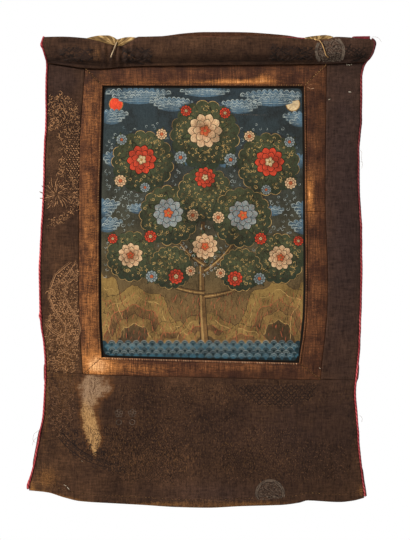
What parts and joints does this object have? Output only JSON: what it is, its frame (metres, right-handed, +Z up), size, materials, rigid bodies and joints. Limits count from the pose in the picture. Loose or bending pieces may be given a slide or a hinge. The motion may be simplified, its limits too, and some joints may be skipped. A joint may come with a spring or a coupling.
{
  "type": "thangka scroll painting",
  "caption": "Hanging scroll painting on cloth: a painted canvas in a stitched silk frame and a worn brocade mount, with a rod sleeve along its top and red piping down its edges.",
  "frame": {"origin": "middle of the top edge, in the plane of the lining", "axes": "+Z up along the hanging cloth, +X to the viewer's right, and the painted face looks along -Y"},
  "size_m": [0.6267, 0.0214, 0.856],
  "materials": {
    "brocade": "worn dark brown silk brocade with a tone-on-tone woven pattern",
    "frame_silk": "faded copper-brown silk, rolled and stitched at its inner edge",
    "painted_canvas": "matt distemper on sized cotton, teal-black, slate blue, ochre and vermilion",
    "lining_cloth": "plain dark red-brown cotton",
    "red_piping": "red cord piping and red silk strip",
    "tie_silk": "old yellow-ochre silk, gathered",
    "tie_string": "undyed twisted string"
  },
  "bodies": {
    "root": {"lining": "lining_cloth", "top_strip": "red_piping", "top_sleeve": "brocade", "panel_left": "brocade", "panel_right": "brocade", "panel_bottom": "brocade", "frame_left": "frame_silk", "frame_right_upper": "frame_silk", "frame_right_lower": "frame_silk", "frame_top": "frame_silk", "frame_bottom": "frame_silk", "painting": "painted_canvas", "piping_left": "red_piping", "piping_right": "red_piping", "tie_left": "tie_silk", "tie_right": "tie_silk", "string_left": "tie_string", "string_right": "tie_string"}
  },
  "joints": []
}
